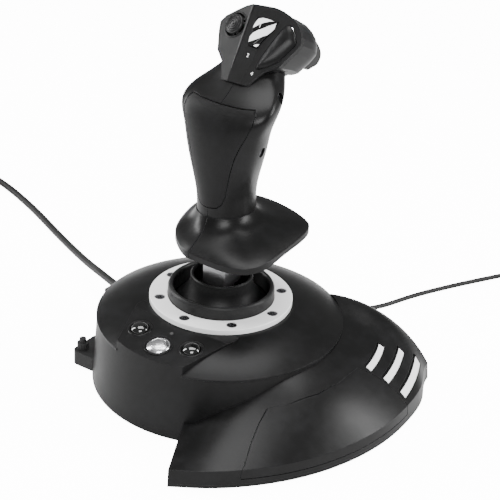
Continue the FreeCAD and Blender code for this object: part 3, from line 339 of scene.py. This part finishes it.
def linePiece(name, points, radius, body, finish, closed=False, smooth=True):
    # a thin round line along points
    data = bpy.data.curves.new(name, "CURVE")
    data.dimensions = "3D"
    data.bevel_depth = radius * mm
    data.bevel_resolution = 3
    data.resolution_u = 6
    data.use_fill_caps = not closed
    spline = data.splines.new("NURBS" if smooth else "POLY")
    spline.points.add(len(points) - 1)
    for point, place in zip(spline.points, points):
        point.co = (*place, 1.0)
    if smooth:
        spline.order_u = 3
        spline.use_endpoint_u = not closed
    spline.use_cyclic_u = closed
    data.materials.append(finish.material)
    piece = bpy.data.objects.new(name, data)
    bpy.context.collection.objects.link(piece)
    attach(piece, body)
    return piece


# Leads. Both leave the back of the base, lie on the table and end in a coil with the plug beside it.
linkLead = {
    "diameter": 5.4, "length": 1.0, "coil": (-352.0, 100.0), "turns": 4,
    "rings": (26.9, 32.3), "levels": (2.9, 8.2),
    "route": [(-95, 15.6, 25), (-119, 27, 22.5), (-157, 51, 11.5), (-206, 80, 3.4), (-260, 107, 2.9),
              (-309, 126, 2.9), (-338, 130.5, 2.9)],
    "tail": [(-341, 67.6, 8.0), (-331, 65.5, 6.0), (-320, 62, 5.2)],
}
usbLead = {
    "diameter": 3.5, "length": 2.0, "coil": (120.0, 275.0), "turns": 14,
    "rings": (25.0, 21.5, 18.0, 14.5), "levels": (1.9, 5.4, 8.9, 12.4),
    "route": [(23.5, 93, 14), (27.5, 111, 12.8), (34, 129, 5.4), (42, 149, 2.2), (51, 177, 1.9),
              (66, 208, 1.9), (86, 244, 1.9), (98, 264, 1.9)],
    "tail": [(144, 265, 5.2), (140, 255, 4.6), (137, 246, 4.4)],
}


def coilRoute(lead, entry, leave, sense):
    # the turns of a wound coil, each layer filled ring by ring, from the entry angle to the leaving one
    stops = []
    for layer, level in enumerate(lead["levels"]):
        rings = lead["rings"] if layer % 2 == 0 else lead["rings"][::-1]
        stops += [(ring, level) for ring in rings]
    stops = stops[:lead["turns"]]
    steps = 16
    sweep = (lead["turns"] - 1) * steps + round(((leave - entry) * sense % 360) / 360 * steps)
    points = []
    for step in range(1, sweep):
        place = step / steps
        here = min(int(place), len(stops) - 1)
        after = min(here + 1, len(stops) - 1)
        ease = max(0.0, (place - here - 0.62) / 0.38)
        radius = stops[here][0] + (stops[after][0] - stops[here][0]) * ease
        level = stops[here][1] + (stops[after][1] - stops[here][1]) * ease
        angle = math.radians(entry + sense * 360 * place)
        across, along = lead["coil"]
        points.append((across + radius * math.cos(angle), along + radius * math.sin(angle), level))
    return points


def leadPiece(name, lead, entry, leave, sense):
    points = lead["route"] + coilRoute(lead, entry, leave, sense) + lead["tail"]
    return linePiece(name, [Vector(point) * mm for point in points], lead["diameter"] / 2, "base",
                     cableFinish)


def leadHeading(route):
    return (Vector(route[1]) - Vector(route[0])).normalized()


# Strain reliefs: tapered rubber sleeves with cooling-fin ribs, each (radius, way along the lead)
reliefs = {
    "linkRelief": {"root": 4.6, "tip": 3.25, "ahead": 11.0, "behind": 14.0, "ribs": 5},
    "usbRelief": {"root": 3.6, "tip": 2.15, "ahead": 13.0, "behind": 15.0, "ribs": 6},
}


def reliefPiece(name, route, bore, node):
    plan = reliefs[name]
    span = plan["ahead"] + plan["behind"]
    back, root = -plan["behind"], plan["root"]
    profile = [(bore, back), (root + 1.6, back), (root + 1.8, back + 0.5), (root + 1.8, back + 2.2),
               (root + 1.4, back + 2.6)]
    first = back + 3.0
    step = (plan["ahead"] - first) / plan["ribs"]
    for rib in range(plan["ribs"]):
        low = first + step * rib
        share = (low + plan["behind"]) / span
        radius = root + (plan["tip"] - root) * share
        profile += [(radius - 0.5, low), (radius - 0.5, low + step * 0.3), (radius, low + step * 0.42),
                    (radius - 0.06, low + step * 0.88)]
    profile += [(plan["tip"], plan["ahead"] - 0.5), (plan["tip"] - 0.25, plan["ahead"]),
                (bore, plan["ahead"])]
    work = bmesh.new()
    spun(work, profile + [profile[0]], Vector(route[0]) * mm, leadHeading(route), 40)
    piece = finishPiece(name, work, "base", reliefFinish, 50)
    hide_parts(node)
    return piece


def levelHeading(tail):
    heading = Vector(tail[-1]) - Vector(tail[-2])
    heading.z = 0
    return heading.normalized()


def plugPiece(name, tail, width, height, length, node):
    # moulded plug body: rounded block, a necked root on the lead and finger ribs on its sides
    heading = levelHeading(tail)
    start = Vector(tail[-1]) * mm
    side = heading.cross(Vector((0, 0, 1)))
    axes = Matrix((heading, -side, Vector((0, 0, 1)))).transposed().to_4x4()
    work = bmesh.new()
    middle = start + heading * (length / 2 + 1) * mm
    blockShape(work, (length - 2, width, height), Matrix.Translation(middle) @ axes, 1.6, 4)
    spun(work, [(0, -1), (2.9, -1), (3.1, 0), (3.4, 2), (3.8, 4), (0, 4)], start, heading, 28)
    for edge in (-1, 1):
        for rib in range(5):
            place = start + heading * (6 + rib * 2.2) * mm - side * edge * (width / 2) * mm
            blockShape(work, (0.9, 0.7, height * 0.6), Matrix.Translation(place) @ axes, 0.3, 2)
    piece = finishPiece(name, work, "base", reliefFinish)
    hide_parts(node)
    return piece


def tiePiece(name, lead, angle, ring, wide, tall, thick):
    # a flat tie strapped round the wound turns
    angle = math.radians(angle)
    outward = Vector((math.cos(angle), math.sin(angle), 0))
    centre = Vector((*lead["coil"], 0)) + outward * ring + Vector((0, 0, tall / 2 + 0.2))
    points = []
    for step in range(16):
        turn = math.tau * step / 16
        reach = (abs(math.cos(turn)) ** 3 + abs(math.sin(turn)) ** 3) ** (-1 / 3)
        points.append((centre + outward * (wide / 2 * reach * math.cos(turn))
                       + Vector((0, 0, tall / 2 * reach * math.sin(turn)))) * mm)
    return linePiece(name, points, thick, "base", reliefFinish, closed=True)


def makeLeads():
    link = leadPiece("linkCord", linkLead, 90, 270, 1)
    usb = leadPiece("usbCord", usbLead, 180, 360, -1)
    linkRelief = reliefPiece("linkRelief", linkLead["route"], linkLead["diameter"] / 2, "link_gland")
    usbRelief = reliefPiece("usbRelief", usbLead["route"], usbLead["diameter"] / 2, "usb_gland")
    linkPlug = plugPiece("linkPlug", linkLead["tail"], 12, 9.6, 22, "link_plug")
    usbPlug = plugPiece("usbPlug", usbLead["tail"], 15.4, 8, 24, "usb_plug")
    linkTie = tiePiece("linkTie", linkLead, 200, 29.6, 12.4, 11.4, 0.5)
    usbTie = tiePiece("usbTie", usbLead, 60, 19.8, 15.0, 14.4, 0.45)
    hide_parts("link_lead", "link_coil")
    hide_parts("usb_lead", "usb_coil")


makeLeads()
print("leads laid")

# Console: two menu buttons and the round main button, square to the sloping top
console = {"front": 53.0, "rise": 0.19, "menuPlace": (20.3, -60.0), "mainPlace": (0.3, -67.6), "rimLift": 0.5}
consoleUp = Vector((0, -console["rise"], 1)).normalized()


def onConsole(x, y, above=0.0):
    return (Vector((x, y, console["front"] + console["rise"] * (y + 80))) + consoleUp * above) * mm


def makeConsole():
    for side, node in ((-1, "menu_button_left"), (1, "menu_button_right")):
        centre = onConsole(side * console["menuPlace"][0], console["menuPlace"][1])
        work = bmesh.new()
        spun(work, [(0, 3.0), (1.4, 2.95), (2.8, 2.7), (4.0, 2.2), (4.9, 1.55), (5.5, 0.8), (5.8, 0),
                    (5.85, -0.8), (5.85, -3.9), (1.8, -4.0), (1.8, -7.5), (0, -7.5)], centre, consoleUp)
        piece = finishPiece(node.replace("menu_button_", "menuCap"), work, node, glossFinish, 60)
        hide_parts(node)
        work = bmesh.new()
        lift = console["rimLift"]
        spun(work, [(6.2, -1), (6.2, lift * 0.4), (6.5, lift), (7.2, lift), (7.7, lift * 0.5), (7.9, 0),
                    (7.9, -1), (6.2, -1)], centre, consoleUp)
        finishPiece("menuRim" + ("Left" if side < 0 else "Right"), work, "base", shellFinish, 60)
    centre = onConsole(*console["mainPlace"])
    work = bmesh.new()
    spun(work, [(0, 2.5), (1.6, 2.48), (3.2, 2.3), (4.2, 2.1), (4.35, 1.8), (4.85, 1.7), (5.0, 1.85),
                (6.0, 1.45), (6.9, 0.95), (7.5, 0.4), (7.75, -0.3), (7.8, -1), (7.8, -4), (1.8, -4.1),
                (1.8, -7.5), (0, -7.5)],
         centre, consoleUp, 72)
    piece = finishPiece("mainCap", work, "guide_button", guideFinish, 45)
    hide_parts("guide_button")


makeConsole()
print("console made")

# Head: the faceted plate has its own directions, across, up the plate and out of it
plate = {"foot": (0, 3.0, 210.5), "up": (0, 0.621, 0.784), "out": (0, -0.784, 0.621), "fold": 14.0,
         "foldStart": 4.9, "lean": 5.0}
plateFoot = Vector(plate["foot"])
plateUp = Vector(plate["up"]).normalized()
plateOut = Vector(plate["out"]).normalized()
plateAcross = Vector((1, 0, 0))


def facetNormal(side):
    lean = Matrix.Rotation(math.radians(-side * plate["lean"]), 3, "Z")
    fold = Matrix.Rotation(math.radians(side * plate["fold"]), 3, "Y")
    local = lean @ fold @ Vector((0, 0, 1)) if side else Vector((0, 0, 1))
    return plateAcross * local.x + plateUp * local.y + plateOut * local.z


def onFacet(side, u, v, above=0.0):
    # point of the left, middle or right facet (side -1, 0, 1), in metres
    flat = plateFoot + plateAcross * u + plateUp * v
    anchor = plateFoot + plateAcross * (side * plate["foldStart"])
    normal = facetNormal(side)
    drop = (flat - anchor).dot(normal) / plateOut.dot(normal)
    return (flat - plateOut * drop + normal * above) * mm


def facetOf(u, v):
    fold = plate["foldStart"] + v * math.tan(math.radians(plate["lean"]))
    return 0 if abs(u) < fold else (1 if u > 0 else -1)


def onPlate(u, v, above=0.0):
    return onFacet(facetOf(u, v), u, v, above)


hat = {"place": (-16.4, 36.0)}


def makeHat():
    centre = onFacet(-1, *hat["place"])
    work = bmesh.new()
    profile = [(0, 3.5), (0.9, 3.45), (1.15, 3.0), (1.6, 2.95), (1.85, 3.3), (2.35, 3.25), (2.6, 2.75),
               (3.05, 2.7), (3.3, 3.05), (3.8, 2.95), (4.05, 2.45), (4.5, 2.35), (4.75, 2.7),
               (5.25, 2.55), (5.5, 2.05), (5.9, 1.95), (6.15, 2.2), (6.5, 1.9), (6.6, 1.4), (6.5, 0.4),
               (5.8, 0.2), (1.9, 0.3), (1.9, -7), (0, -7)]
    spun(work, profile, centre, facetNormal(-1), 64)
    piece = finishPiece("hatCap", work, "hat", hatFinish, 32)
    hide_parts("hat")
    work = bmesh.new()
    spun(work, [(7.75, -0.6), (7.75, 0.12), (7.95, 0.32), (8.5, 0.34), (8.9, 0.1), (9.0, -0.6),
                (7.75, -0.6)], centre, facetNormal(-1), 64)
    finishPiece("hatRim", work, "stick", plateFinish, 50)


teardrop = {
    "outline": [(9.8, 12.9), (10.7, 12.2), (12.5, 12.9), (16.5, 15.8), (21.7, 21.1), (24.9, 28.1),
                (27.2, 33.1), (27.4, 36.0), (24.8, 40.5), (21.6, 44.0), (19.6, 45.0), (17.8, 44.0),
                (16.0, 41.0), (14.6, 36.8), (11.9, 27.2), (9.9, 17.9)],
    "ridge": ((11.6, 15.2), (22.6, 35.2)), "crest": 2.3, "gap": 0.35,
}


def shrunk(outline, amount):
    middle = (sum(u for u, v in outline) / len(outline), sum(v for u, v in outline) / len(outline))
    result = []
    for u, v in outline:
        reach = math.hypot(u - middle[0], v - middle[1])
        share = (reach - amount) / reach
        result.append((middle[0] + (u - middle[0]) * share, middle[1] + (v - middle[1]) * share))
    return result


def makeSideButton():
    # drop-shaped cap that rises to a sharp crest along its length
    outline = shrunk(teardrop["outline"], teardrop["gap"])
    work = bmesh.new()
    top = work.faces.new([work.verts.new(onFacet(1, u, v, 0.15)) for u, v in outline])
    top.normal_update()
    if top.normal.dot(facetNormal(1)) < 0:
        top.normal_flip()
    walls = bmesh.ops.extrude_face_region(work, geom=[top])
    lowered = [item for item in walls["geom"] if isinstance(item, bmesh.types.BMVert)]
    bmesh.ops.translate(work, vec=facetNormal(1) * -5.6 * mm, verts=lowered)
    start, stop = (onFacet(1, u, v, teardrop["crest"]) for u, v in teardrop["ridge"])
    along = stop - start
    for share, lift in ((0.16, 0.45), (0.45, 0.75), (0.86, 1.0)):
        bmesh.ops.inset_region(work, faces=[top], thickness=0.35 * mm, use_even_offset=True)
        for vert in top.verts:
            place = max(0.0, min(1.0, (vert.co - start).dot(along) / along.length_squared))
            target = start + along * place
            flat = onFacet(1, 0, 0)
            height = (vert.co - flat).dot(facetNormal(1))
            vert.co = vert.co.lerp(target, share * 0.8)
            vert.co += facetNormal(1) * (max(height, teardrop["crest"] * mm * lift)
                                         - (vert.co - flat).dot(facetNormal(1)))
    piece = finishPiece("sideCap", work, "side_button", headFinish, 25)
    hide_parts("side_button")


# Bands on the glossy window: the white outlines are painted reflections, the slant is a painted highlight
windowReflections = {
    "lift": 1.08,
    "outlines": [
        [(-2.0, 36.2), (-2.1, 38.1), (-1.6, 40.6), (-0.7, 42.8), (1.9, 43.9), (5.4, 44.0), (9.6, 43.6),
         (6.8, 42.6), (3.5, 40.9), (1.1, 39.2), (-0.5, 37.6)],
        [(-0.9, 27.0), (-1.6, 30.3), (-0.6, 33.1), (2.0, 35.6), (5.1, 37.6), (8.1, 40.1), (11.5, 42.9),
         (11.7, 39.5), (10.7, 37.1), (8.9, 34.0), (5.6, 31.5), (2.5, 29.2)],
        [(3.2, 25.5), (5.0, 26.7), (6.8, 27.2), (6.4, 26.0), (5.4, 25.0)],
    ],
    "slant": [(2.6, 26.4), (3.6, 26.9), (6.2, 31.2), (5.4, 30.9)],
}


def paintedLightPiece(name, outline, lift, body, finish, thick=0.12):
    # a thin raised sheet that follows the facets; here it carries the window's painted reflections and
    # painted highlight
    work = bmesh.new()
    face = work.faces.new([work.verts.new((u * mm, v * mm, 0)) for u, v in outline])
    if face.normal.z < 0:
        face.normal_flip()
    bmesh.ops.triangulate(work, faces=[face])
    for side in (-1, 1):
        lean = math.radians(plate["lean"])
        normal = Vector((math.cos(lean), -side * math.sin(lean), 0))
        bmesh.ops.bisect_plane(work, geom=work.verts[:] + work.edges[:] + work.faces[:], dist=0.001 * mm,
                               plane_co=(side * plate["foldStart"] * mm, 0, 0), plane_no=normal)
    made = bmesh.ops.extrude_face_region(work, geom=work.faces[:])
    raised = {item for item in made["geom"] if isinstance(item, bmesh.types.BMVert)}
    for vert in work.verts:
        above = lift + (thick if vert in raised else -thick)
        vert.co = onPlate(vert.co.x / mm, vert.co.y / mm, above)
    return finishPiece(name, work, body, finish, 30)


# Key numbers, as on a dial: (figure, place on the plate, height above it, body)
numbers = [
    ("1", (2.2, 38.4), 1.1, "centre_button"),
    ("2", (1.8, 18.8), 0.02, "stick"),
    ("3", (17.2, 29.0), 1.5, "side_button"),
    ("4", (9.0, 8.7), 0.02, "stick"),
]
numberSize = 3.4


def numberPiece(figure, place, above, body):
    data = bpy.data.curves.new("figure" + figure, "FONT")
    data.body = figure
    data.size = numberSize * mm
    data.extrude = 0.1 * mm
    data.align_x = "CENTER"
    data.align_y = "CENTER"
    text = bpy.data.objects.new("figureText" + figure, data)
    bpy.context.collection.objects.link(text)
    bpy.context.view_layer.update()
    mesh = bpy.data.meshes.new_from_object(text.evaluated_get(bpy.context.evaluated_depsgraph_get()))
    bpy.data.objects.remove(text)
    side = facetOf(*place)
    normal = facetNormal(side)
    across = (plateAcross - normal * plateAcross.dot(normal)).normalized()
    axes = Matrix((across, normal.cross(across), normal)).transposed().to_4x4()
    mesh.transform(Matrix.Translation(onFacet(side, *place, above)) @ axes)
    mesh.materials.clear()
    mesh.materials.append(printAndReflectionFinish.material)
    piece = bpy.data.objects.new("figure" + figure, mesh)
    bpy.context.collection.objects.link(piece)
    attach(piece, body)
    return piece


# Fine moulded lines of the head: a crest down the left fold, coloured light grey as a painted highlight, and
# a polished rim along the thumb side
headLines = {
    "crest": [(-9.2, 50.2), (-8.1, 38.0), (-6.9, 24.0), (-5.6, 8.5)],
    "rim": [(30.2, 35.8), (28.6, 31.4), (26.2, 25.8), (23.1, 19.2), (21.6, 17.4), (19.2, 15.6), (17.0, 13.8),
            (14.8, 10.9), (12.4, 6.6), (10.3, 2.6), (9.2, 0.9), (7.4, 0.4), (0, 0.35), (-9.4, 0.35)],
}


def makeHead():
    makeHat()
    makeSideButton()
    for index, outline in enumerate(windowReflections["outlines"]):
        paintedLightPiece("windowBand%d" % (index + 1), outline, windowReflections["lift"], "centre_button", printAndReflectionFinish)
    paintedLightPiece("windowSlantHighlight", windowReflections["slant"], windowReflections["lift"], "centre_button", paintedHighlightFinish)
    for number in numbers:
        numberPiece(*number)
    crest = [onFacet(-1, u, v, 0.05) for u, v in headLines["crest"]]
    work = bmesh.new()
    for start, stop, wide, narrow in zip(crest, crest[1:], (0.55, 0.5, 0.42), (0.5, 0.42, 0.2)):
        rodShape(work, start, stop, wide, narrow, 12)
    finishPiece("plateCrest", work, "stick", paintedHighlightFinish, 60)
    linePiece("plateRim", [onPlate(u, v, -0.12) for u, v in headLines["rim"]], 0.34, "stick", headFinish)


makeHead()
print("head made")

# Grip: a thin dark line above the flange's edge band, a painted shadow of the step there
flange = {
    "outline": [(0, -38), (14, -38.6), (26, -38.6), (36, -36.6), (43.6, -31), (47.6, -22), (48.4, -8),
                (49, 6), (49.3, 18), (46.4, 28.3), (38.6, 33.6), (27, 37.7), (15.5, 40.0), (5, 40.8),
                (-4, 40.0), (-14, 36.6), (-23.5, 30), (-29.5, 20), (-31, 9), (-29.8, -2), (-27.4, -12),
                (-23, -21.5), (-16, -29), (-8, -35)],
    "floor": 105.0, "tilt": 0.13, "band": 4.0,
}


def makeFlangeLine():
    points = [Vector((x, y, flange["floor"] + flange["tilt"] * (y + 38) + flange["band"])) * mm
              for x, y in flange["outline"]]
    linePiece("flangeShadowLine", points, 0.28, "stick", paintedShadowFinish, closed=True)


makeFlangeLine()
print("grip lines made")


# Stage: pale floor, soft boxes and a bright backdrop
stage = {"floor": 0.86, "whiteness": 12.0, "fill": 0.3}


def makeStage():
    work = bmesh.new()
    bmesh.ops.create_grid(work, x_segments=1, y_segments=1, size=4.0)
    mesh = bpy.data.meshes.new("floor")
    work.to_mesh(mesh)
    work.free()
    floor = bpy.data.objects.new("floor", mesh)
    bpy.context.collection.objects.link(floor)
    finish = Finish("paleFloor", Roughness=0.9)
    finish.shader.inputs["Base Color"].default_value = grey(stage["floor"])
    seen = finish.add("LightPath", output="Is Camera Ray")
    glow = finish.add("Emission", None, {"Color": grey(1.0), "Strength": seen * stage["whiteness"]})
    both = finish.add("AddShader", None, {0: Wire(finish, finish.shader.outputs[0]), 1: glow})
    finish.feed(finish.tree.nodes["Material Output"].inputs["Surface"], both)
    mesh.materials.append(finish.material)
    world = bpy.data.worlds.new("studio")
    world.use_nodes = True
    bpy.context.scene.world = world
    tree = world.node_tree
    back = tree.nodes["Background"]
    back.inputs["Color"].default_value = grey(1.0)
    path = tree.nodes.new("ShaderNodeLightPath")
    amount = tree.nodes.new("ShaderNodeMath")
    amount.operation = "MULTIPLY_ADD"
    amount.inputs[1].default_value = stage["whiteness"] + 1.0
    amount.inputs[2].default_value = stage["fill"]
    tree.links.new(path.outputs["Is Camera Ray"], amount.inputs[0])
    tree.links.new(amount.outputs[0], back.inputs["Strength"])


# Each light: place, point it faces, size (wide, high), watts
lights = {
    "key": ((0.75, -1.15, 1.35), (0, 0, 0.1), (0.9, 0.9), 42),
    "top": ((-0.15, 0.25, 1.7), (0, 0, 0.1), (1.3, 0.8), 34),
    "leftStrip": ((-1.25, -0.35, 0.55), (0, 0, 0.12), (0.22, 1.3), 26),
    "rightRim": ((1.15, 0.75, 0.75), (0, 0, 0.12), (0.35, 1.0), 26),
}


def makeLights():
    for name, (place, target, size, watts) in lights.items():
        data = bpy.data.lights.new(name, "AREA")
        data.shape = "RECTANGLE"
        data.size, data.size_y = size
        data.energy = watts
        lamp = bpy.data.objects.new(name, data)
        bpy.context.collection.objects.link(lamp)
        heading = Vector(place) - Vector(target)
        lamp.matrix_world = Matrix.Translation(place) @ heading.to_track_quat("Z", "Y").to_matrix().to_4x4()


makeStage()
makeLights()
print("stage set")
